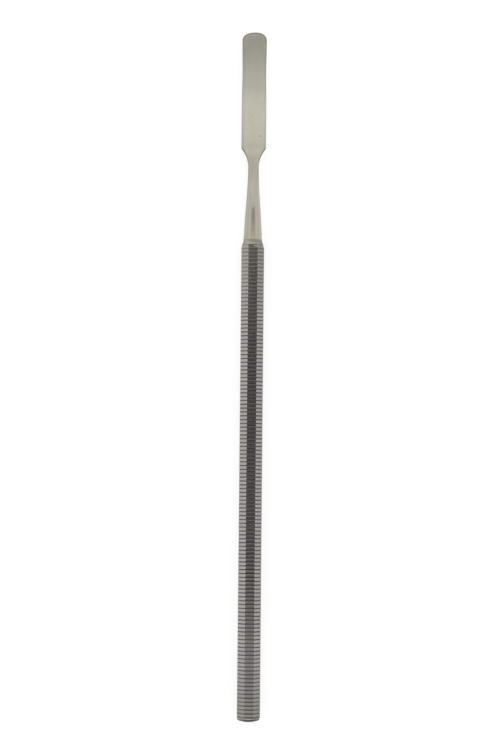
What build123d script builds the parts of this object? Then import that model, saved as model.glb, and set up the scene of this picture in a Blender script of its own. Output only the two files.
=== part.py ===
from build123d import *
from math import cos, radians, sqrt, tan
import os

os.makedirs("parts", exist_ok=True)

# One-ended dental elevator with a ringed octagonal hollow handle, millimetres.
# It lies on one flat of the handle: +Y runs along the axis to the blade's tip,
# +X across the blade, +Z up, z = 0 under the handle, y = 0 halfway along.

# ---- driving dimensions ----
handle_length = 125.8          # tail pole to nose face
handle_sides = 8
handle_flats = 6.0             # across the octagon's flats
first_ring = 1.45              # tail pole to the middle of the first grip ring
ring_pitch = 1.0               # from one grip ring to the next
ring_width = 0.38              # mouth of a ring groove
ring_depth = 0.08              # the same on every flat
nose_diameter = 4.95           # nose face, and the neck's foot on it
nose_half_angle = 16.0         # degrees between the nose cone and the axis
tail_crown_radius = 7.5        # shallow dome across the tail
tail_edge_diameter = 5.7       # where the dome turns into the edge break
tail_edge_angle = 24.0         # degrees between the edge break and the axis

bore_diameter = 3.6            # drilled from the tail
tang_diameter = 3.0
tang_length = 14.0
tang_ring_count = 3            # keying grooves round the tang
tang_ring_width = 0.8
tang_ring_depth = 0.15
tang_chamfer = 0.3

plug_head_depth = 1.3
plug_stem_length = 6.0
plug_chamfer = 0.3

neck_length = 24.4             # nose joint to the blade's shoulder
neck_foot_height = 1.1         # short steep part above the nose joint
neck_foot_step = 0.165         # what that part loses in radius
neck_waist_diameter = 2.82
neck_flare_radius = 7.7        # arc from the waist out to the shoulder

blade_length = 31.2            # shoulder to tip
blade_width = 6.5
blade_hollow = 0.1             # how far each long side curves in halfway along
blade_tip_length = 2.3         # rounded end, measured along the axis
blade_shoulder_length = 3.0    # straight-sided stretch above the shoulder
blade_root_thickness = 1.3
blade_end_thickness = 0.62
blade_edge_thickness = 0.3     # the sharpened edge itself
blade_bevel_length = 1.4       # ground bevel behind that edge
forge_length = 8.0             # flattened stretch of the neck below the shoulder

# ---- fits ----
braze_gap = 0.12               # filler between the neck's foot and the nose face
tang_clearance = 0.03          # round the tang, each side
socket_end_room = 1.0          # beyond the tang's end
stem_clearance = 0.03          # round the plug's stem, each side
plug_ledge = 0.15              # the plug's head is wider than the bore by this, each side
plug_gap = 0.1                 # filler round the plug's head

# ---- cutting shapes ----
outside = 2.0                  # how far they reach past the metal

# ---- worked out ----
overall_length = handle_length + braze_gap + neck_length + blade_length
tail_y = -overall_length / 2
nose_y = tail_y + handle_length
neck_y = nose_y + braze_gap
shoulder_y = neck_y + neck_length
tip_y = shoulder_y + blade_length
seat_y = tail_y + plug_head_depth
axis_z = handle_flats / 2
nose_r = nose_diameter / 2
bore_r = bore_diameter / 2
tang_r = tang_diameter / 2
socket_r = tang_r + tang_clearance
head_r = bore_r + plug_ledge
seat_r = head_r + plug_gap
foot_r = nose_r - neck_foot_step
waist_r = neck_waist_diameter / 2
half_side_angle = 180 / handle_sides


def turned(points):
    """Turn a closed outline of (radius, y) points round the handle's axis."""
    return revolve(make_face(Polyline(*points, close=True)), Axis.Y)


def crown_drop(radius):
    """How far the tail dome falls back from its pole at this radius."""
    return tail_crown_radius - sqrt(tail_crown_radius**2 - radius**2)


def flare_radius_at(distance):
    """Radius of the neck at this distance above its waist, on the flare's arc."""
    return waist_r + neck_flare_radius - sqrt(neck_flare_radius**2 - distance**2)


def flare_distance_at(radius):
    """Distance above the waist where the flare reaches this radius."""
    return sqrt(neck_flare_radius**2 - (neck_flare_radius + waist_r - radius) ** 2)


def handle_limits():
    """What the lathe leaves of the bar: tail dome, edge break and nose cone."""
    limit_r = handle_flats / 2 / cos(radians(half_side_angle)) + outside
    edge_r = tail_edge_diameter / 2
    edge_y = tail_y + crown_drop(edge_r)
    break_y = edge_y + (limit_r - edge_r) / tan(radians(tail_edge_angle))
    cone_y = nose_y - (limit_r - nose_r) / tan(radians(nose_half_angle))
    dome_middle = (edge_r / 2, tail_y + crown_drop(edge_r / 2))
    dome = ThreePointArc((0, tail_y), dome_middle, (edge_r, edge_y))
    sides = Polyline(
        (edge_r, edge_y),
        (limit_r, break_y),
        (limit_r, cone_y),
        (nose_r, nose_y),
        (0, nose_y),
        (0, tail_y),
    )
    return revolve(make_face([dome, sides]), Axis.Y)


def octagon(y, apothem):
    """Octagonal section across the axis, one flat facing up."""
    section = RegularPolygon(apothem, handle_sides, major_radius=False, rotation=half_side_angle)
    return Plane.XZ.offset(-y) * section


def ringed_bar():
    """Octagonal bar with V-shaped rings of one depth on every flat."""
    land = handle_flats / 2
    cone_length = (land - nose_r) / tan(radians(nose_half_angle))
    ring_count = 1 + int((handle_length - cone_length - first_ring) / ring_pitch)
    sections = [octagon(tail_y - outside, land)]
    for ring in range(ring_count):
        ring_y = tail_y + first_ring + ring * ring_pitch
        sections.append(octagon(ring_y - ring_width / 2, land))
        sections.append(octagon(ring_y, land - ring_depth))
        sections.append(octagon(ring_y + ring_width / 2, land))
    sections.append(octagon(nose_y + outside, land))
    return loft(sections, ruled=True)


def handle_tube():
    """Hollow handle: ringed octagon, drilled from the tail, with the tang's socket in its nose."""
    socket_floor = nose_y - tang_length - socket_end_room
    drilled = turned([
        (0, tail_y - outside),
        (seat_r, tail_y - outside),
        (seat_r, seat_y),
        (bore_r, seat_y),
        (bore_r, socket_floor),
        (socket_r, socket_floor),
        (socket_r, nose_y + outside),
        (0, nose_y + outside),
    ])
    return (ringed_bar() & handle_limits()) - drilled


def end_plug():
    """Plug whose stem sits in the bore and whose domed head closes the tail."""
    stem_r = bore_r - stem_clearance
    stem_y = seat_y + plug_stem_length
    shape = turned([
        (0, tail_y - outside),
        (head_r, tail_y - outside),
        (head_r, seat_y),
        (stem_r, seat_y),
        (stem_r, stem_y - plug_chamfer),
        (stem_r - plug_chamfer, stem_y),
        (0, stem_y),
    ])
    return shape & handle_limits()


def tail_braze_ring():
    """Filler between the plug's head and its seat, dressed off with the dome."""
    ring = turned([
        (head_r, tail_y - outside),
        (seat_r, tail_y - outside),
        (seat_r, seat_y),
        (head_r, seat_y),
    ])
    return ring & handle_limits()


def nose_braze_ring():
    """Filler washer between the neck's foot and the nose face."""
    return turned([
        (socket_r, nose_y),
        (nose_r, nose_y),
        (nose_r, neck_y),
        (socket_r, neck_y),
    ])


def tang():
    """Turned tang with keying grooves and a chamfered end."""
    end_y = nose_y - tang_length
    shape = turned([
        (0, end_y),
        (tang_r - tang_chamfer, end_y),
        (tang_r, end_y + tang_chamfer),
        (tang_r, neck_y),
        (0, neck_y),
    ])
    spacing = tang_length / (tang_ring_count + 1)
    for ring in range(1, tang_ring_count + 1):
        low = end_y + ring * spacing - tang_ring_width / 2
        shape -= turned([
            (tang_r - tang_ring_depth, low),
            (tang_r + outside, low),
            (tang_r + outside, low + tang_ring_width),
            (tang_r - tang_ring_depth, low + tang_ring_width),
        ])
    return shape


def neck_blank():
    """Turned neck: foot, taper, waist and flare, then a bar wide enough for the blade."""
    waist_y = shoulder_y - flare_distance_at(blade_width / 2)
    foot_y = neck_y + neck_foot_height
    bar_r = blade_width / 2 + outside / 2
    flare = flare_distance_at(bar_r)
    foot = Line((nose_r, neck_y), (foot_r, foot_y))
    taper = Spline(
        (foot_r, foot_y),
        (waist_r, waist_y),
        tangents=[(waist_r - foot_r, waist_y - foot_y), (0, 1)],
    )
    horn = ThreePointArc(
        (waist_r, waist_y),
        (flare_radius_at(flare / 2), waist_y + flare / 2),
        (bar_r, waist_y + flare),
    )
    bar = Polyline(
        (bar_r, waist_y + flare),
        (bar_r, tip_y + outside),
        (0, tip_y + outside),
        (0, neck_y),
        (nose_r, neck_y),
    )
    return revolve(make_face([foot, taper, horn, bar]), Axis.Y)


def blade_plan():
    """Limits seen from above: slightly hollow long sides and an elliptical tip."""
    half = blade_width / 2
    low_y = neck_y - outside
    side_y = shoulder_y + blade_shoulder_length
    tip_base_y = tip_y - blade_tip_length
    middle_y = (side_y + tip_base_y) / 2
    hollow = half - blade_hollow
    right_side = ThreePointArc((half, side_y), (hollow, middle_y), (half, tip_base_y))
    tip = EllipticalCenterArc((0, tip_base_y), half, blade_tip_length, arc_size=180)
    left_side = ThreePointArc((-half, tip_base_y), (-hollow, middle_y), (-half, side_y))
    base = Polyline((-half, side_y), (-half, low_y), (half, low_y), (half, side_y))
    return extrude(make_face([right_side, tip, left_side, base]), amount=nose_diameter, both=True)


def blade_side():
    """Limits seen from the side: round neck, forged flat, thinned, with a bevelled edge."""
    low_y = neck_y - outside
    high_y = tip_y + outside
    clear_z = nose_r + outside
    forge_y = shoulder_y - forge_length
    root_z = blade_root_thickness / 2
    end_z = blade_end_thickness / 2
    edge_z = blade_edge_thickness / 2
    bevel_y = tip_y - blade_bevel_length
    upper_press = Spline(
        (forge_y, foot_r),
        (shoulder_y, root_z),
        tangents=[(forge_length, root_z - foot_r), (bevel_y - shoulder_y, end_z - root_z)],
    )
    lower_press = mirror(upper_press, about=Plane.XZ)
    upper = [(shoulder_y, root_z), (bevel_y, end_z), (tip_y, edge_z), (high_y, edge_z)]
    lower = [(y, -z) for y, z in reversed(upper)]
    stock = [(forge_y, -clear_z), (low_y, -clear_z), (low_y, clear_z), (forge_y, clear_z)]
    face_line = Polyline(*upper, *lower)
    stock_line = Polyline((forge_y, -foot_r), *stock, (forge_y, foot_r))
    side = make_face([upper_press, face_line, lower_press, stock_line])
    return extrude(Plane.YZ * side, amount=blade_width, both=True)


def working_end():
    """One forging: blade, neck, foot and tang."""
    return (neck_blank() & blade_plan() & blade_side()) + tang()


pieces = {
    "handle_tube": handle_tube,
    "working_end": working_end,
    "end_plug": end_plug,
    "nose_braze_ring": nose_braze_ring,
    "tail_braze_ring": tail_braze_ring,
}
for name, make in pieces.items():
    solid = Location((0, 0, axis_z)) * make()
    export_step(solid, "parts/" + name + ".step")
    print(name, "solids", len(solid.solids()), "volume", round(solid.volume, 3), "valid", solid.is_valid)
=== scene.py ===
import math

import bpy
import numpy as np
from mathutils import Matrix, Vector


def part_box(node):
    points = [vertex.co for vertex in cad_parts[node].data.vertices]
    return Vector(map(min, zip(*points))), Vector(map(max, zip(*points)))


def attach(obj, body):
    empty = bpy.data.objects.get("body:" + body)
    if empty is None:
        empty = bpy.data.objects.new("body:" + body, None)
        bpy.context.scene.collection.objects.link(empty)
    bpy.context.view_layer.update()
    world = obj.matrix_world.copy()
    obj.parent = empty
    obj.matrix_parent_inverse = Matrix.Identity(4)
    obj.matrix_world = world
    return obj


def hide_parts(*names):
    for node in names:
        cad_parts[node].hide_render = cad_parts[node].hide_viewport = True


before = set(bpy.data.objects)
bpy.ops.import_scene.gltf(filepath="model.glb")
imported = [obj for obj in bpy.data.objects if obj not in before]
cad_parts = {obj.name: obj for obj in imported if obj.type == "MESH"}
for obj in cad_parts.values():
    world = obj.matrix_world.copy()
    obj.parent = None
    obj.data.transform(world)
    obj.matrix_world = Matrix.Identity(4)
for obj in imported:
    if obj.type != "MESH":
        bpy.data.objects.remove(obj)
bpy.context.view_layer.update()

SEED = 7

# ------------------------------------------------------------------ sizes, in millimetres
# The frame gives where each part starts and ends; the rest is the surface detail.

MM = 0.001


def box_mm(node):
    """Lowest and highest corner of a CAD part, in millimetres."""
    low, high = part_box(node)
    return np.array(low) / MM, np.array(high) / MM


tube_low, tube_high = box_mm("handle_tube")
forging_low, forging_high = box_mm("working_end")
plug_low, plug_high = box_mm("end_plug")
nose_ring_low, nose_ring_high = box_mm("nose_braze_ring")
tail_ring_low, tail_ring_high = box_mm("tail_braze_ring")

FLATS = tube_high[2] - tube_low[2]
AXIS_Z = (tube_low[2] + tube_high[2]) / 2
TAIL_Y = plug_low[1]
NOSE_Y = tube_high[1]
NECK_Y = nose_ring_high[1]
TIP_Y = forging_high[1]
TANG_Y = forging_low[1]
NOSE_R = (nose_ring_high[0] - nose_ring_low[0]) / 2
HEAD_R = (plug_high[0] - plug_low[0]) / 2
SEAT_R = (tail_ring_high[0] - tail_ring_low[0]) / 2
SEAT_Y = tail_ring_high[1]
BLADE_HALF = (forging_high[0] - forging_low[0]) / 2

RING_PITCH = 1.0
FIRST_RING = 1.45          # tail pole to the first full ring
RING_DEPTH = 0.08
RING_HALF = 0.19           # half the width of a groove at its lips
RING_FLOOR = 0.76          # share of that width that is floor
RING_SCATTER = 0.012       # error of each ring's place, millimetres
WIDTH_SCATTER = 0.05       # error of each ring's width, as a share of it
DEPTH_SCATTER = 0.1        # error of each ring's depth, as a share of it
CORNER_ROUND = 0.16        # radius along the octagon's edges
CONE_SLOPE = 0.28          # rise of the nose cone per millimetre at the handle's sides
CONE_OVAL = 0.45           # how much steeper it was dressed above and below
NOSE_SQUARING = 1.1        # from the nose face back to where the cone is eight-sided
ROUND_SIDE = 0.6           # how much less eight-sided the cone is on the right
LATHE_EDGE = 0.05          # rounding where the lathe's cuts meet the flats
CROWN_RADIUS = 7.5         # dome across the tail
CROWN_EDGE_R = 2.85        # where the dome turns into the edge break
BREAK_SLOPE = math.tan(math.radians(24.0))
BORE_R = 1.8
TANG_R = 1.5
CLEARANCE = 0.03           # round the tang in its socket and the plug's stem in the bore
SOCKET_R = TANG_R + CLEARANCE
SOCKET_LENGTH = 15.0
LIP = 0.3                  # extra points this far from each inner corner keep it crisp

SHOULDER_Y = NECK_Y + 24.4
DRAWN_LENGTH = 18.5        # stretch of the neck that was drawn down to the waist
DRAWN_SWAY = 0.06          # how full its lower half is, and how hollow its upper half
FOOT_STEP = 0.07           # what the short steep foot adds to the radius
FOOT_FADE = 1.4            # how soon that dies out
WAIST_R = 1.41
FLARE_RADIUS = 7.7
SIDE_HOLLOW = 0.11         # how far the blade's long sides curve in
ROOT_HALF = 0.62           # half the blade's thickness at its root
END_HALF = 0.30            # and at its tip
TIP_LENGTH = 2.3           # rounded end of the blade
TIP_POWER = 2.25           # 2 would be an ellipse, more is squarer
TIP_SKEW = 0.25            # how far right the very tip sits
BEVEL_WIDTH = 1.2          # band round the tip that was ground a second time
BEVEL_SLOPE = 0.05
TIP_LIFT = 0.32            # how far the blade's tip curves up
LIFT_LENGTH = 17.0         # stretch of the blade that curves up
KEY_COUNT = 3              # keying grooves round the tang
KEY_HALF = 0.4             # half the width of one
KEY_DEPTH = 0.15

FINE_BUMP = 0.00002        # height of the surface texture, in metres


# ------------------------------------------------------------------ surfaces

def smoothstep(value, low, high):
    """0 below low, 1 above high, and the cubic 3t^2 - 2t^3 between them."""
    t = np.clip((value - low) / (high - low), 0.0, 1.0)
    return t * t * (3.0 - 2.0 * t)


def smooth_min(a, b, width):
    """The lower of a and b, with the corner where they cross rounded over width."""
    h = np.clip(0.5 + 0.5 * (b - a) / width, 0.0, 1.0)
    return b + (a - b) * h - width * h * (1.0 - h)


def sleeve(name, rings, closed=False, masks=None):
    """A piece from rings of points, an array of (rings, points round, 3) in millimetres.
    Each ring is a closed loop joined to the next. The path of rings is closed on itself,
    or each end runs to a pole at the mean of its last ring. The side that faces out is
    found from the sign of the enclosed volume. masks are per-point values for the materials."""
    count, around, _ = rings.shape
    points = rings.reshape(-1, 3)
    j = np.arange(around)
    k = (j + 1) % around
    rows = np.arange(count if closed else count - 1)[:, None]
    nxt = (rows + 1) % count
    quads = np.stack([rows * around + j, rows * around + k, nxt * around + k, nxt * around + j], -1)
    quads = quads.reshape(-1, 4)
    triangles = np.concatenate([quads[:, [0, 1, 2]], quads[:, [0, 2, 3]]])
    faces = quads.tolist()
    if not closed:
        poles = np.stack([rings[0].mean(0), rings[-1].mean(0)])
        points = np.concatenate([points, poles])
        low, high = len(points) - 2, len(points) - 1
        last = (count - 1) * around
        fans = np.concatenate([
            np.stack([np.full(around, low), k, j], -1),
            np.stack([np.full(around, high), last + j, last + k], -1),
        ])
        triangles = np.concatenate([triangles, fans])
        faces += fans.tolist()
    a, b, c = (points[triangles[:, i]] for i in range(3))
    if np.einsum("ij,ij->i", a, np.cross(b, c)).sum() < 0:
        faces = [face[::-1] for face in faces]
    mesh = bpy.data.meshes.new(name)
    mesh.from_pydata((points * MM).tolist(), [], faces)
    mesh.polygons.foreach_set("use_smooth", np.ones(len(faces), bool))
    for mask, values in (masks or {}).items():
        values = values.reshape(-1)
        if not closed:
            values = np.concatenate([values, values[[0, -1]]])
        layer = mesh.attributes.new(mask, "FLOAT", "POINT")
        layer.data.foreach_set("value", values.astype(np.float32))
    mesh.update()
    piece = bpy.data.objects.new(name, mesh)
    bpy.context.scene.collection.objects.link(piece)
    return piece


def turned(name, profile, around, closed=False):
    """A lathe-turned piece: each (radius, y) of the profile becomes a circle round the axis."""
    profile = np.array(profile, float)
    angle = np.arange(around) * 2 * np.pi / around
    rings = np.empty((len(profile), around, 3))
    rings[..., 0] = profile[:, :1] * np.cos(angle)
    rings[..., 1] = profile[:, 1:]
    rings[..., 2] = AXIS_Z + profile[:, :1] * np.sin(angle)
    return sleeve(name, rings, closed)


def crown_drop(radius):
    """How far the tail dome falls back at this radius: R - sqrt(R^2 - r^2)."""
    return CROWN_RADIUS - np.sqrt(CROWN_RADIUS**2 - radius**2)


# ------------------------------------------------------------------ the handle

def octagon_profile():
    """Unit directions, distances and corner flags of a rounded octagon with a flat on top.
    It is an octagon whose edges were rolled: a smaller octagon carried outwards by the
    corner radius. Each corner is an arc of four points and each flat has five more, closer
    together beside the arcs so that the flats stay flat."""
    arc = np.radians([0.0, 15.0, 30.0, 45.0])
    flat_half = math.tan(math.pi / 8)
    core = FLATS / 2 - CORNER_ROUND
    corner = core * np.array([1.0, flat_half])
    along = np.array([0.9, 0.4, 0.0, -0.4, -0.9]) * core * flat_half
    points, edges = [], []
    for side in range(8):
        turn = side * math.pi / 4
        spin = np.array([[math.cos(turn), -math.sin(turn)], [math.sin(turn), math.cos(turn)]])
        flat = np.stack([np.full(5, FLATS / 2), -along], -1)
        rolled = corner + CORNER_ROUND * np.stack([np.cos(arc), np.sin(arc)], -1)
        points.append(np.concatenate([flat, rolled]) @ spin.T)
        edges.append(np.concatenate([np.zeros(5), [0.5, 1.0, 1.0, 0.5]]))
    points = np.concatenate(points)
    return points, np.concatenate(edges)


def ring_stations(rng):
    """Places along the handle and the depth of the groove at each. A groove's depth is its
    own times clip((1 - |s|) / (1 - floor share), 0, 1), with s running from -1 to 1 between
    its lips. Each ring has its own small error in place, width and depth."""
    count = int(NOSE_Y - TAIL_Y - FIRST_RING)
    centre = TAIL_Y + FIRST_RING + RING_PITCH * np.arange(count)
    centre = centre + rng.normal(0.0, RING_SCATTER, count)
    half = RING_HALF * (1.0 + rng.normal(0.0, WIDTH_SCATTER, count))
    depth = RING_DEPTH * (1.0 + rng.normal(0.0, DEPTH_SCATTER, count))
    step = np.array([-1.1, -1.0, -RING_FLOOR, -0.62, 0.0, 0.62, RING_FLOOR, 1.0, 1.1])
    y = centre[:, None] + half[:, None] * step
    wall = np.clip((1.0 - np.abs(step)) / (1.0 - RING_FLOOR), 0.0, 1.0)
    cut = depth[:, None] * wall
    return y.ravel(), cut.ravel()


def handle():
    """Ringed octagonal tube. Along its outside the radius is the octagon's own, less the
    groove, but never more than the lathe left: the edge break's (r + y * slope), or the
    cone's (nose radius + distance * slope * (1 + oval * up^4)) / facing^squareness. Facing
    is about the cosine of the angle from the nearest flat. Squareness is 0 at the round
    nose face, 1 further back and less on the right. The path then turns in at the nose and
    comes back along the bore."""
    rng = np.random.default_rng(SEED)
    section, edge = octagon_profile()
    reach = np.hypot(section[:, 0], section[:, 1])
    heading = section / reach[:, None]
    facing = FLATS / 2 / np.maximum(reach, FLATS / 2)

    y, cut = ring_stations(rng)
    break_y = TAIL_Y + crown_drop(CROWN_EDGE_R)
    tail_land = np.linspace(break_y, TAIL_Y + FIRST_RING - RING_HALF - 0.05, 9)
    nose_land = np.linspace(NOSE_Y - 3.0, NOSE_Y, 28)
    extra = np.concatenate([tail_land, nose_land])
    keep = (y > tail_land[-1] + 0.02) & (y < NOSE_Y - 0.06)
    y, cut = y[keep], cut[keep]
    order = np.argsort(y)
    y, cut = y[order], cut[order]
    extra_cut = np.interp(extra, y, cut, left=0.0)
    y = np.concatenate([y, extra])
    cut = np.concatenate([cut, extra_cut])
    order = np.argsort(y)
    y, cut = y[order], cut[order]
    apart = np.concatenate([[True], np.diff(y) > 0.012])
    apart[-1] = True
    y, cut = y[apart], cut[apart]

    slope = CONE_SLOPE * (1.0 + CONE_OVAL * heading[:, 1] ** 4)
    edge_break = CROWN_EDGE_R + (y[:, None] - break_y) * BREAK_SLOPE
    squareness = np.clip((NOSE_Y - y) / NOSE_SQUARING, 0.0, 1.0)[:, None]
    squareness = squareness * (1.0 - ROUND_SIDE * smoothstep(heading[:, 0], 0.15, 0.38))
    cone = (NOSE_R + (NOSE_Y - y[:, None]) * slope) / facing**squareness
    lathe = np.minimum(edge_break, cone)
    own = reach[None, :] - cut[:, None] / facing[None, :]
    radius = smooth_min(own, lathe - 0.3 * cut[:, None], LATHE_EDGE)
    radius[-1] = NOSE_R
    groove = np.clip(cut / RING_DEPTH, 0.0, 1.0)[:, None] * np.ones(len(reach))
    on_cone = (own > lathe).astype(float)
    groove = groove * (1.0 - 0.8 * on_cone)
    # painted shade: the tail's edge break and rim count as groove, so the material darkens them
    tail_rim_shade = 1.0 - smoothstep(y - TAIL_Y, 0.84, 0.98)
    groove = np.maximum(groove, tail_rim_shade[:, None])

    dome_r = np.linspace(SEAT_R, CROWN_EDGE_R, 8)[:-1]
    dome_y = TAIL_Y + crown_drop(dome_r)
    socket_floor = NOSE_Y - SOCKET_LENGTH
    inside = np.array([
        (NOSE_R - 0.05, NOSE_Y),
        (SOCKET_R + 0.1, NOSE_Y),
        (SOCKET_R, NOSE_Y),
        (SOCKET_R, NOSE_Y - LIP),
        (SOCKET_R, socket_floor + LIP),
        (SOCKET_R, socket_floor),
        (BORE_R, socket_floor),
        (BORE_R, socket_floor - LIP),
        (BORE_R, SEAT_Y + LIP),
        (BORE_R, SEAT_Y),
        (SEAT_R, SEAT_Y),
        (SEAT_R, SEAT_Y - LIP),
        (SEAT_R, dome_y[0] + 0.1),
    ])
    all_y = np.concatenate([dome_y, y, inside[:, 1]])
    circle = np.ones(len(reach))
    all_r = np.concatenate([dome_r[:, None] * circle, radius, inside[:, :1] * circle])
    rings = np.empty((len(all_y), len(reach), 3))
    rings[..., 0] = all_r * heading[:, 0]
    rings[..., 1] = all_y[:, None]
    rings[..., 2] = AXIS_Z + all_r * heading[:, 1]

    # painted shade: the tail's end face counts as groove all over, so it is darkened
    tail_dome_shade = np.ones((len(dome_r), len(reach)))
    none_before = np.zeros((len(dome_y), len(reach)))
    none_after = np.zeros((len(inside), len(reach)))
    wear = edge[None, :] * (1.0 - on_cone) * (1.0 - groove)
    # the groove mask also carries the painted shade on the tail's rim and end
    masks = {
        "groove": np.concatenate([tail_dome_shade, groove, none_after]),
        "wear": np.concatenate([none_before, wear, none_after]),
    }
    return sleeve("handle_grip", rings, closed=True, masks=masks)


# ------------------------------------------------------------------ the working end

def neck_radius(y):
    """Half the neck's width. With d the distance above the joint and t = d / drawn length,
    it falls from above the foot to the waist by the share t - sway * sin(2 pi t), a little
    full low down and hollow higher up. The short steep foot adds step * exp(-d / fade)."""
    d = y - NECK_Y
    t = np.clip(d / DRAWN_LENGTH, 0.0, 1.0)
    drawn = t - DRAWN_SWAY * np.sin(2 * np.pi * t)
    above_foot = NOSE_R - FOOT_STEP
    taper = above_foot - (above_foot - WAIST_R) * drawn
    return taper + FOOT_STEP * np.exp(-d / FOOT_FADE)


def half_width(y):
    """Half the forging's width. The flare adds R - sqrt(R^2 - s^2) to the neck, s being the
    distance above the waist, up to the sides, which are hollow by a bell curve. All of it
    is times (1 - t^p)^(1/p) over the rounded end, t going from 0 at its base to 1 at the
    tip."""
    flare_rise = FLARE_RADIUS - (BLADE_HALF - WAIST_R)
    waist_y = SHOULDER_Y - math.sqrt(FLARE_RADIUS**2 - flare_rise**2)
    s = np.clip(y - waist_y, 0.0, FLARE_RADIUS * 0.98)
    flare = neck_radius(y) + FLARE_RADIUS - np.sqrt(FLARE_RADIUS**2 - s**2)
    hollow = SIDE_HOLLOW * np.exp(-(((y - (TIP_Y - 10.7)) / 5.0) ** 2))
    side = BLADE_HALF - hollow
    body = smooth_min(flare, side, 0.22)
    base = TIP_Y - TIP_LENGTH
    t = np.clip((y - base) / TIP_LENGTH, 0.0, 1.0)
    return body * (1.0 - t**TIP_POWER) ** (1.0 / TIP_POWER)


def outline_inset(width, forward, rho):
    """About how far, in millimetres, a point of the blade lies inside its outline."""
    ahead = np.where(rho > 0, forward**2 / np.maximum(rho, 1e-6) ** 2, 0.0)
    return (1.0 - rho) * (width + (TIP_LENGTH - width) * ahead)


def half_height(y):
    """Half the forging's thickness. Above the foot the neck nearly keeps its height: it has
    the neck's radius at the distance h = fade * (1 - exp(-d / fade)), less droop * (d - h).
    Then it falls away to the blade's root and thins evenly towards the tip."""
    d = y - NECK_Y
    fade, droop = 3.0, 0.012
    held = fade * (1.0 - np.exp(-d / fade))
    round_part = neck_radius(NECK_Y + held) - droop * (d - held)
    share = np.clip((y - SHOULDER_Y) / (TIP_Y - SHOULDER_Y), -0.2, 1.0)
    blade_part = ROOT_HALF + (END_HALF - ROOT_HALF) * share
    t = smoothstep(y, NECK_Y + 8.5, SHOULDER_Y + 0.5)
    return round_part + (blade_part - round_part) * t**0.75


def forging_points():
    """Stations along the forging and the share of the half width across it. Across, the
    points are at sin(pi u / 2), so they crowd at both edges and a round neck stays round."""
    neck = np.linspace(NECK_Y, SHOULDER_Y - 6.0, 95)
    flare = np.linspace(SHOULDER_Y - 6.0, SHOULDER_Y + 2.0, 70)[1:]
    blade = np.linspace(SHOULDER_Y + 2.0, TIP_Y - TIP_LENGTH - 1.0, 90)[1:]
    turn = np.linspace(TIP_Y - TIP_LENGTH - 1.0, TIP_Y - TIP_LENGTH, 10)[1:]
    tip = TIP_Y - TIP_LENGTH + TIP_LENGTH * np.sin(np.linspace(0.0, np.pi / 2, 40)[1:-1])
    return np.concatenate([neck, flare, blade, turn, tip])


def forging():
    """Blade, neck, foot and tang in one. Above and below the middle the surface stands at
    height * (1 - rho^n)^(1/n): rho is the share of the half width, or near the tip the
    elliptical distance from the tip's centre, and n grows from 2 on the round neck to 16
    on the flat blade. A slight bevel round the tip lowers it by slope * (width - inset).
    The rounded end leans right by skew * t^3, and the blade's last stretch is lifted by
    lift * t^2, t being 0 at the start of each and 1 at its end."""
    y = forging_points()
    half_turn = 64
    u = np.concatenate([
        np.linspace(-1.0, 1.0, half_turn + 1)[:-1],
        np.linspace(1.0, -1.0, half_turn + 1)[:-1],
    ])
    upper = np.concatenate([np.ones(half_turn), -np.ones(half_turn)])
    across = np.sin(np.pi * u / 2)[None, :]
    width = half_width(y)[:, None]
    height = half_height(y)[:, None]
    power = 2.0 + 14.0 * smoothstep(y, SHOULDER_Y - 9.0, SHOULDER_Y + 0.5)[:, None]
    base = TIP_Y - TIP_LENGTH
    forward = np.clip((y - base) / TIP_LENGTH, 0.0, 1.0)[:, None]
    rho = np.sqrt(across**2 * (1.0 - forward**2) + forward**2)
    rho = np.minimum(rho, 1.0)
    inset = outline_inset(width, forward, rho)
    near_tip = smoothstep(y, base - 2.0, base + 0.5)[:, None]
    height = height - near_tip * BEVEL_SLOPE * np.maximum(BEVEL_WIDTH - inset, 0.0)
    lift = TIP_LIFT * np.clip((y - (TIP_Y - LIFT_LENGTH)) / LIFT_LENGTH, 0.0, 1.0) ** 2
    rings = np.empty((len(y), len(u), 3))
    rings[..., 0] = width * across + TIP_SKEW * forward**3
    rings[..., 1] = y[:, None]
    rings[..., 2] = AXIS_Z + lift[:, None] + upper * height * (1.0 - rho**power) ** (1.0 / power)

    tang = [(0.9, TANG_Y), (TANG_R - 0.3, TANG_Y), (TANG_R, TANG_Y + 0.3)]
    length = NOSE_Y - TANG_Y
    floor_r = TANG_R - KEY_DEPTH
    for key in range(1, KEY_COUNT + 1):
        middle = TANG_Y + key * length / (KEY_COUNT + 1)
        low, high = middle - KEY_HALF, middle + KEY_HALF
        tang += [(TANG_R, low), (floor_r, low + 0.05), (floor_r, high - 0.05), (TANG_R, high)]
    tang += [(TANG_R, NECK_Y - 0.1), (TANG_R + 0.02, NECK_Y), (NOSE_R - 0.1, NECK_Y)]
    tang = np.array(tang)
    shaft = np.empty((len(tang), len(u), 3))
    shaft[..., 0] = tang[:, :1] * np.sin(np.pi * u / 2)
    shaft[..., 1] = tang[:, 1:]
    shaft[..., 2] = AXIS_Z + tang[:, :1] * upper * np.cos(np.pi * u / 2)
    on_blade = smoothstep(y, SHOULDER_Y - 6.0, SHOULDER_Y - 3.0)[:, None]
    far_in = 3.0
    inset = far_in + (inset - far_in) * on_blade
    # how far across the neck a point lies, for painted shade on its flanks
    flank_shade = np.abs(across) * (1.0 - on_blade)
    masks = {
        "inset": np.concatenate([np.full(shaft.shape[:2], far_in), inset]),
        "flank_shade": np.concatenate([np.zeros(shaft.shape[:2]), flank_shade]),
    }
    return sleeve("blade_and_neck", np.concatenate([shaft, rings]), masks=masks)


# ------------------------------------------------------------------ plug and braze

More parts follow.
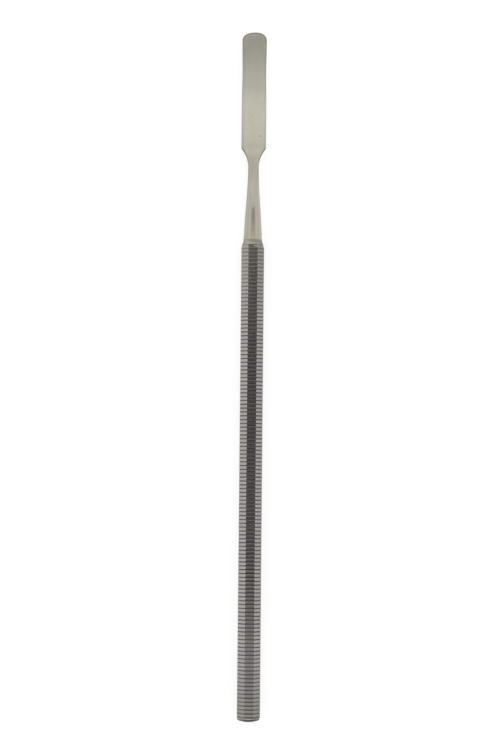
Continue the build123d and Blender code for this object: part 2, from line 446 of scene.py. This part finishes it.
def plug():
    """Domed plug with its stem in the bore."""
    dome = np.linspace(0.25, HEAD_R - 0.06, 12)
    profile = [(r, TAIL_Y + crown_drop(r)) for r in dome]
    edge_y = TAIL_Y + crown_drop(HEAD_R)
    stem_y = plug_high[1]
    stem_r = BORE_R - CLEARANCE
    profile += [
        (HEAD_R, edge_y + 0.05),
        (HEAD_R, SEAT_Y - 0.05),
        (HEAD_R - 0.02, SEAT_Y),
        (stem_r, SEAT_Y),
        (stem_r, SEAT_Y + 0.2),
        (stem_r, stem_y - 0.3),
        (stem_r - 0.3, stem_y),
        (0.5, stem_y),
    ]
    return turned("tail_plug", profile, 64)


def tail_filler():
    """Ring of braze round the plug's head, a hair below the dome where it was dressed."""
    sunk = 0.015
    profile = [
        (HEAD_R, TAIL_Y + crown_drop(HEAD_R) + sunk),
        ((HEAD_R + SEAT_R) / 2, TAIL_Y + crown_drop((HEAD_R + SEAT_R) / 2) + 2 * sunk),
        (SEAT_R, TAIL_Y + crown_drop(SEAT_R) + sunk),
        (SEAT_R, SEAT_Y),
        (HEAD_R, SEAT_Y),
    ]
    return turned("tail_filler", profile, 72, closed=True)


def nose_filler():
    """Ring of braze at the joint: its outside is drawn in a little between the two steels."""
    middle = (NOSE_Y + NECK_Y) / 2
    profile = [
        (SOCKET_R, NOSE_Y),
        (NOSE_R - 0.01, NOSE_Y),
        (NOSE_R - 0.02, middle),
        (NOSE_R - 0.01, NECK_Y),
        (SOCKET_R, NECK_Y),
    ]
    return turned("nose_filler", profile, 96, closed=True)


# ------------------------------------------------------------------ shader maths

class Value:
    """A socket that takes part in arithmetic. Each operator adds one Math node."""

    def __init__(self, graph, socket):
        self.graph = graph
        self.socket = socket

    def math(self, operation, *others):
        """One Math node with this value first."""
        settings = {"operation": operation}
        values = {i + 1: other for i, other in enumerate(others)}
        values[0] = self
        return self.graph.node("ShaderNodeMath", settings, values).out(0)

    def __add__(self, other):
        return self.math("ADD", other)

    def __sub__(self, other):
        return self.math("SUBTRACT", other)

    def __mul__(self, other):
        return self.math("MULTIPLY", other)

    def __truediv__(self, other):
        return self.math("DIVIDE", other)

    def __pow__(self, other):
        return self.math("POWER", other)

    def __rsub__(self, other):
        settings = {"operation": "SUBTRACT"}
        return self.graph.node("ShaderNodeMath", settings, {0: other, 1: self}).out(0)

    __radd__ = __add__
    __rmul__ = __mul__

    def clamp(self):
        """This value kept between 0 and 1."""
        return self.graph.node("ShaderNodeClamp", {}, {0: self}).out(0)

    def step(self, low, high):
        """0 below low and 1 above high, eased between them."""
        values = {0: self, 1: low, 2: high}
        settings = {"interpolation_type": "SMOOTHSTEP"}
        return self.graph.node("ShaderNodeMapRange", settings, values).out(0)

    def spot(self, centre, size):
        """1 at centre, falling to 0 at size away from it on either side."""
        return 1 - (self - centre).math("ABSOLUTE").step(0.0, size)


class Step:
    """One placed node."""

    def __init__(self, graph, made):
        self.graph = graph
        self.made = made

    def out(self, key=0):
        """One of its outputs, by number or name."""
        return Value(self.graph, self.made.outputs[key])


class Graph:
    """The nodes of one material or of the world."""

    def __init__(self, owner):
        owner.use_nodes = True
        self.tree = owner.node_tree
        self.tree.nodes.clear()

    def node(self, kind, settings=None, values=None):
        """Adds a node of this type: its settings first, then the values or links of its sockets."""
        made = self.tree.nodes.new(kind)
        for key, setting in (settings or {}).items():
            setattr(made, key, setting)
        for key, value in (values or {}).items():
            if isinstance(value, Value):
                self.tree.links.new(value.socket, made.inputs[key])
            else:
                made.inputs[key].default_value = value
        return Step(self, made)

    def vector(self, operation, *values):
        """A Vector Math node's vector result."""
        sockets = dict(enumerate(values))
        return self.node("ShaderNodeVectorMath", {"operation": operation}, sockets).out(0)

    def mix(self, share, low, high, blend="MIX"):
        """A Mix node on colours: low at share 0 and high at share 1."""
        settings = {"data_type": "RGBA", "blend_type": blend}
        return self.node("ShaderNodeMix", settings, {0: share, 6: low, 7: high}).out(2)

    def toned(self, colour, tone):
        """A colour with each of its channels times this tone."""
        shade = self.node("ShaderNodeCombineColor", {}, {0: tone, 1: tone, 2: tone}).out(0)
        return self.mix(1.0, colour, shade, "MULTIPLY")

    def noise(self, place, scale, detail=2.0, roughness=0.5):
        """Noise between 0 and 1 at this place."""
        values = {"Vector": place, "Scale": scale, "Detail": detail, "Roughness": roughness}
        return self.node("ShaderNodeTexNoise", {}, values).out("Fac")

    def mask(self, name):
        """A value that the mesh carries at its points."""
        return self.node("ShaderNodeAttribute", {"attribute_name": name}).out("Fac")

    def place_mm(self, stretch=(1.0, 1.0, 1.0)):
        """Object coordinates in millimetres, times a stretch along each axis."""
        spot = self.node("ShaderNodeTexCoord").out("Object")
        scale = tuple(s / MM for s in stretch)
        return self.vector("MULTIPLY", spot, scale)

    def axes_mm(self):
        """X, Y and Z in millimetres as three values."""
        split = self.node("ShaderNodeSeparateXYZ", {}, {0: self.place_mm()})
        return split.out(0), split.out(1), split.out(2)

    def steel(self, colour, roughness, bump=None):
        """Metal shader. bump is (height, strength, distance in metres)."""
        values = {"Base Color": colour, "Roughness": roughness, "Metallic": 1.0}
        if bump:
            height, strength, distance = bump
            sockets = {"Height": height, "Strength": strength, "Distance": distance}
            values["Normal"] = self.node("ShaderNodeBump", {}, sockets).out("Normal")
        shader = self.node("ShaderNodeBsdfPrincipled", {}, values).out(0)
        self.node("ShaderNodeOutputMaterial", {}, {"Surface": shader})


def rgb(r, g, b):
    """A colour with full alpha."""
    return (r, g, b, 1.0)


# ------------------------------------------------------------------ finishes

def handle_steel():
    """Satin handle: grey lands, grooves darkened with grime and painted shade, edges rubbed
    bright, each ring a little different, with slow tone changes along the handle and fine
    lengthwise drawing lines. The grime and painted shade in the grooves are thinner at the
    nose, and beside the top flat at the tail; the tail's rim and end get painted shade. On
    the top flat each land has a painted highlight band and a painted shade band across it,
    1 + contrast * cos(2 pi (share - shift)), share being the place in the pitch. The nose is
    warmer, with straw heat colour and the trace of a last ring."""
    material = bpy.data.materials.new("handle_steel")
    g = Graph(material)
    groove = g.mask("groove")
    wear = g.mask("wear")
    slow = g.noise(g.place_mm((0.12, 0.035, 0.12)), 1.0, 2.0)
    by_ring = g.noise(g.place_mm((0.22, 0.9, 0.22)), 1.0, 1.0)
    blotch = g.noise(g.place_mm((0.9, 0.6, 0.9)), 1.0, 3.0, 0.6)
    drawn = g.noise(g.place_mm((9.0, 0.35, 9.0)), 1.0, 3.0, 0.6)

    greenish, mauve = rgb(0.415, 0.405, 0.36), rgb(0.405, 0.38, 0.39)
    rubbed = rgb(0.50, 0.485, 0.46)
    warmed = rgb(0.435, 0.41, 0.345)
    dressed = rgb(0.44, 0.415, 0.35)
    straw = rgb(0.42, 0.365, 0.245)
    last_ring = rgb(0.20, 0.185, 0.15)
    grime_and_shade = rgb(0.125, 0.108, 0.115)

    x, y, _ = g.axes_mm()
    tone = 0.72 + 0.3 * slow + 0.26 * by_ring + 0.1 * blotch
    # darker towards the tail, darker to the right, and once more right of the top flat
    tone = tone * (1 - 0.28 * (1 - y.step(TAIL_Y, TAIL_Y + 20.0)))
    tone = tone * (1 - 0.13 * x.step(-2.0, 2.0))
    tone = tone * (1 - 0.1 * x.step(1.1, 1.7))
    near_nose = y.step(NOSE_Y - 27.0, NOSE_Y - 2.0)
    near_tail = 1 - y.step(TAIL_Y + 4.0, TAIL_Y + 20.0)
    cone = y.step(NOSE_Y - 1.9, NOSE_Y - 1.2)
    cone_side = cone * x.math("ABSOLUTE").step(1.4, 2.4)
    tone = tone * (1 - near_nose * (0.18 + 0.10 * x.step(-2.0, 2.0))) * (1 - 0.24 * cone_side)
    # painted shade: the tail's crown, which turns away, is made much darker
    tone = tone * (1 - 0.6 * (1 - y.step(TAIL_Y + 0.5, TAIL_Y + 0.75)))
    tint = g.noise(g.place_mm((0.12, 0.55, 0.12)), 1.0, 1.0)
    land = g.mix(tint.step(0.3, 0.7), greenish, mauve)
    land = g.mix((wear * 0.5).clamp(), land, rubbed)
    land = g.mix(0.5 * near_nose, land, warmed)
    land = g.mix(cone, land, dressed)
    land = g.mix(cone * x.spot(0.0, 1.3) * 0.7, land, straw)
    land = g.mix(x.spot(0.0, 1.6) * y.spot(NOSE_Y - 0.35, 0.3) * 0.5, land, last_ring)
    beside = x.math("ABSOLUTE").step(0.9, 1.6)
    # grooves darkened with grime and with painted shade in the recesses, less at the nose and
    # beside the top flat at the tail
    shade_and_grime_share = (0.7 + 0.5 * by_ring) * (1 - 0.4 * near_nose) * (1 - 0.25 * near_tail * beside)
    shade_and_dirt = (groove.step(0.02, 0.3) * shade_and_grime_share).clamp()
    colour = g.mix(shade_and_dirt, land, grime_and_shade)
    # painted highlight and painted shade: a light and a dark band across each land of the top flat,
    # their place shifting along the handle
    shift = 0.4 + 0.2 * (1 - y.step(TAIL_Y + 46.0, TAIL_Y + 106.0))
    across_land = (y - (TAIL_Y + FIRST_RING)) * (1 / RING_PITCH) - shift
    land_highlight_and_shade = (across_land * (2 * math.pi)).math("COSINE")
    contrast = 0.13 + 0.27 * y.step(TAIL_Y + 10.0, TAIL_Y + 30.0)
    contrast = contrast + 0.3 * y.spot(TAIL_Y + 39.0, 16.0)
    tone = tone * (1 + contrast * land_highlight_and_shade * (1 - beside) * (1 - 0.65 * cone))
    colour = g.toned(colour, tone)
    roughness = 0.12 + 0.06 * drawn + 0.25 * shade_and_dirt
    g.steel(colour, roughness, (drawn, 0.06, FINE_BUMP))
    return material


def blade_steel():
    """Satin blade: warm pale grey with fine lengthwise polishing streaks, darker towards the
    tip, painted shade along its outline, a duller band along its left side, faint olive
    patches, a brown stain at one corner of the tip and two dark pits. The neck is rougher,
    with painted shade on its flanks and a painted dark reflection as a stripe along its top
    low down, a little lighter on the right, and straw heat colour just above the joint."""
    material = bpy.data.materials.new("blade_steel")
    g = Graph(material)
    x, y, _ = g.axes_mm()
    streak = g.noise(g.place_mm((2.2, 0.07, 2.2)), 1.0, 4.0, 0.7)
    fine = g.noise(g.place_mm((22.0, 0.5, 22.0)), 1.0, 2.0, 0.6)
    patch = g.noise(g.place_mm((0.5, 0.22, 0.5)), 1.0, 3.0, 0.6)
    hue = g.noise(g.place_mm((0.8, 0.8, 0.8)), 1.0, 1.0)

    warm = rgb(0.482, 0.452, 0.380)
    cool = rgb(0.452, 0.450, 0.388)
    neck_grey = rgb(0.455, 0.43, 0.362)
    olive = rgb(0.42, 0.415, 0.30)
    straw = rgb(0.44, 0.385, 0.25)
    braze_shadow = rgb(0.22, 0.20, 0.17)
    brown = rgb(0.30, 0.21, 0.14)
    pitted = rgb(0.12, 0.11, 0.10)

    colour = g.mix(hue.step(0.3, 0.7), warm, cool)
    colour = g.mix(1 - y.step(SHOULDER_Y - 4.0, SHOULDER_Y + 4.0), colour, neck_grey)
    upper_patch = x.spot(-2.0, 1.0) * y.spot(TIP_Y - 4.6, 2.0)
    lower_patch = x.spot(2.4, 0.9) * y.spot(SHOULDER_Y + 11.3, 1.6)
    colour = g.mix((upper_patch + lower_patch) * 0.4, colour, olive)
    inset = g.mask("inset")
    band = 1 - x.step(-2.4, -2.0)
    tone = 0.84 + 0.19 * streak + 0.14 * patch + 0.03 * x.spot(-2.0, 0.3) - 0.03 * band
    tone = tone * (1 - 0.36 * y.step(SHOULDER_Y + 8.0, TIP_Y - 1.0))
    tone = tone * (1 - 0.05 * y.spot(SHOULDER_Y + 16.5, 4.5))
    # painted shade along the blade's outline where its surface turns away, strongest round the tip
    # and at the flare, more on the right
    flare = (1 - y.step(SHOULDER_Y - 0.3, SHOULDER_Y + 1.2)) * (0.4 + 0.6 * x.step(-1.0, 1.0))
    rim = (1 - inset.step(0.05, 0.42)) * (0.25 + 0.9 * (y.step(TIP_Y - 4.0, TIP_Y - 1.8) + flare))
    arc = inset.spot(1.15, 0.22) * y.step(TIP_Y - 3.2, TIP_Y - 1.6)
    tone = tone * (1 - 0.3 * rim) * (1 - 0.08 * arc)
    tone = tone * (1 - 0.15 * y.spot(SHOULDER_Y - 3.5, 7.0))
    # painted shade on the neck's flanks
    tone = tone * (1 - 0.2 * g.mask("flank_shade").step(0.7, 0.9))
    # painted dark reflection: a stripe along the top of the neck, low down
    tone = tone * (1 - 0.24 * y.spot(NECK_Y + 6.0, 5.0) * x.spot(0.0, 1.0))
    on_neck = 1 - y.step(SHOULDER_Y - 4.0, SHOULDER_Y - 1.0)
    tone = tone * (1 + 0.07 * x.step(0.3, 0.9) * on_neck)
    colour = g.toned(colour, tone)

    heated = y.spot(NECK_Y + 1.4, 3.6) * (0.12 + 0.75 * x.spot(0.0, 1.3))
    colour = g.mix(heated, colour, straw)
    joint = y.spot(NECK_Y, 0.3) * 0.15
    colour = g.mix(joint, colour, braze_shadow)
    corner = x.spot(BLADE_HALF - 0.25, 0.7) * y.spot(TIP_Y - 2.4, 1.1) * (0.4 + 0.8 * patch)
    colour = g.mix((corner * 0.6).clamp(), colour, brown)
    pit = x.spot(1.6, 0.32) * y.spot(SHOULDER_Y + 3.35, 0.34)
    pit = pit + 0.35 * x.spot(-0.35, 0.4) * y.spot(SHOULDER_Y + 8.9, 0.4)
    colour = g.mix(pit * 0.6, colour, pitted)

    roughness = 0.14 + 0.06 * streak + 0.04 * fine
    roughness = roughness + 0.06 * (1 - y.step(SHOULDER_Y - 12.0, SHOULDER_Y - 4.0))
    g.steel(colour, roughness, (streak * 0.7 + fine * 0.3, 0.08, FINE_BUMP))
    return material


def plug_steel():
    """Turned plug: faint rings round the axis from the facing cut, and grime towards its rim."""
    material = bpy.data.materials.new("plug_steel")
    g = Graph(material)
    x, _, z = g.axes_mm()
    up = z - AXIS_Z
    radius = (x * x + up * up) ** 0.5
    cut = (radius * 40.0).math("SINE") * 0.5 + 0.5
    patch = g.noise(g.place_mm((0.8, 0.8, 0.8)), 1.0, 3.0, 0.6)
    dull, clean, grime_and_shade = rgb(0.23, 0.215, 0.2), rgb(0.30, 0.28, 0.26), rgb(0.075, 0.068, 0.066)
    colour = g.mix(patch, dull, clean)
    colour = g.mix(radius.step(0.8, 1.3), colour, grime_and_shade)
    g.steel(colour, 0.27 + 0.1 * cut, (cut, 0.2, FINE_BUMP))
    return material


def silver_braze():
    """Braze: duller and yellower than the steel beside it."""
    material = bpy.data.materials.new("silver_braze")
    g = Graph(material)
    grain = g.noise(g.place_mm((6.0, 6.0, 6.0)), 1.0, 3.0, 0.6)
    brassy, silvery = rgb(0.36, 0.325, 0.25), rgb(0.43, 0.39, 0.31)
    colour = g.mix(grain, brassy, silvery)
    g.steel(colour, 0.34 + 0.15 * grain, (grain, 0.3, 1.5 * FINE_BUMP))
    return material


# ------------------------------------------------------------------ floor, light and camera

def floor():
    """Pale matt table, faintly lit from within so that it stays white round the object."""
    half = 3.0
    mesh = bpy.data.meshes.new("table_top")
    corners = [(-half, -half, 0), (half, -half, 0), (half, half, 0), (-half, half, 0)]
    mesh.from_pydata(corners, [], [(0, 1, 2, 3)])
    table = bpy.data.objects.new("table_top", mesh)
    bpy.context.scene.collection.objects.link(table)
    material = bpy.data.materials.new("table_white")
    g = Graph(material)
    values = {
        "Base Color": rgb(0.35, 0.35, 0.35),
        "Roughness": 0.9,
        "Specular IOR Level": 0.0,
        "Emission Color": rgb(1.0, 1.0, 1.0),
        "Emission Strength": 0.75,
    }
    shader = g.node("ShaderNodeBsdfPrincipled", {}, values).out(0)
    g.node("ShaderNodeOutputMaterial", {}, {"Surface": shader})
    mesh.materials.append(material)


def studio():
    """Light tent: a bright even dome, a little darker towards its rim, with a soft dark
    opening overhead where a camera looks in."""
    world = bpy.data.worlds.new("light_tent")
    bpy.context.scene.world = world
    g = Graph(world)
    ray = g.node("ShaderNodeTexCoord").out("Generated")
    split = g.node("ShaderNodeSeparateXYZ", {}, {0: ray})
    x, y, z = split.out(0), split.out(1), split.out(2)
    rim, high, opening = 0.84, 1.0, 0.04
    dome = rim + (high - rim) * z.step(0.1, 0.7) + 0.5 * z.step(0.935, 0.975) - 0.03 * x
    up = z.math("MAXIMUM", 0.05)
    across = (x / up).math("ABSOLUTE")
    along = y / up
    hole = (1 - across.step(0.4, 0.5)) * along.step(-0.27, -0.045) * (1 - along.step(0.165, 0.2))
    hole = hole * z.step(0.3, 0.6)
    strength = dome + (opening - dome) * hole
    values = {"Color": rgb(1.0, 0.995, 0.985), "Strength": strength}
    light = g.node("ShaderNodeBackground", {}, values).out(0)
    g.node("ShaderNodeOutputWorld", {}, {"Surface": light})


def camera():
    """Looking almost straight down, from just off the object's middle, tip to the top."""
    place = Vector((-14.149, -25.163, 426.34)) * MM
    tilt, lean, roll = 0.05783, -0.0331, 0.0114
    turn = Matrix.Rotation(roll, 3, "Z") @ Matrix.Rotation(tilt, 3, "X")
    turn = turn @ Matrix.Rotation(lean, 3, "Y")
    data = bpy.data.cameras.new("camera")
    data.sensor_width = 36.0
    data.lens = 77.42
    data.clip_start = 0.01
    data.clip_end = 20.0
    view = bpy.data.objects.new("camera", data)
    view.matrix_world = Matrix.Translation(place) @ turn.to_4x4()
    bpy.context.scene.collection.objects.link(view)
    bpy.context.scene.camera = view


# ------------------------------------------------------------------ putting it together

def fit(piece, node, material):
    """The piece stands for a CAD part, moves with it and takes its finish."""
    piece.data.materials.append(material)
    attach(piece, "root")
    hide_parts(node)


camera()
studio()
floor()
bpy.context.scene.view_settings.view_transform = "Standard"

braze = silver_braze()
fit(handle(), "handle_tube", handle_steel())
fit(forging(), "working_end", blade_steel())
fit(plug(), "end_plug", plug_steel())
fit(nose_filler(), "nose_braze_ring", braze)
fit(tail_filler(), "tail_braze_ring", braze)
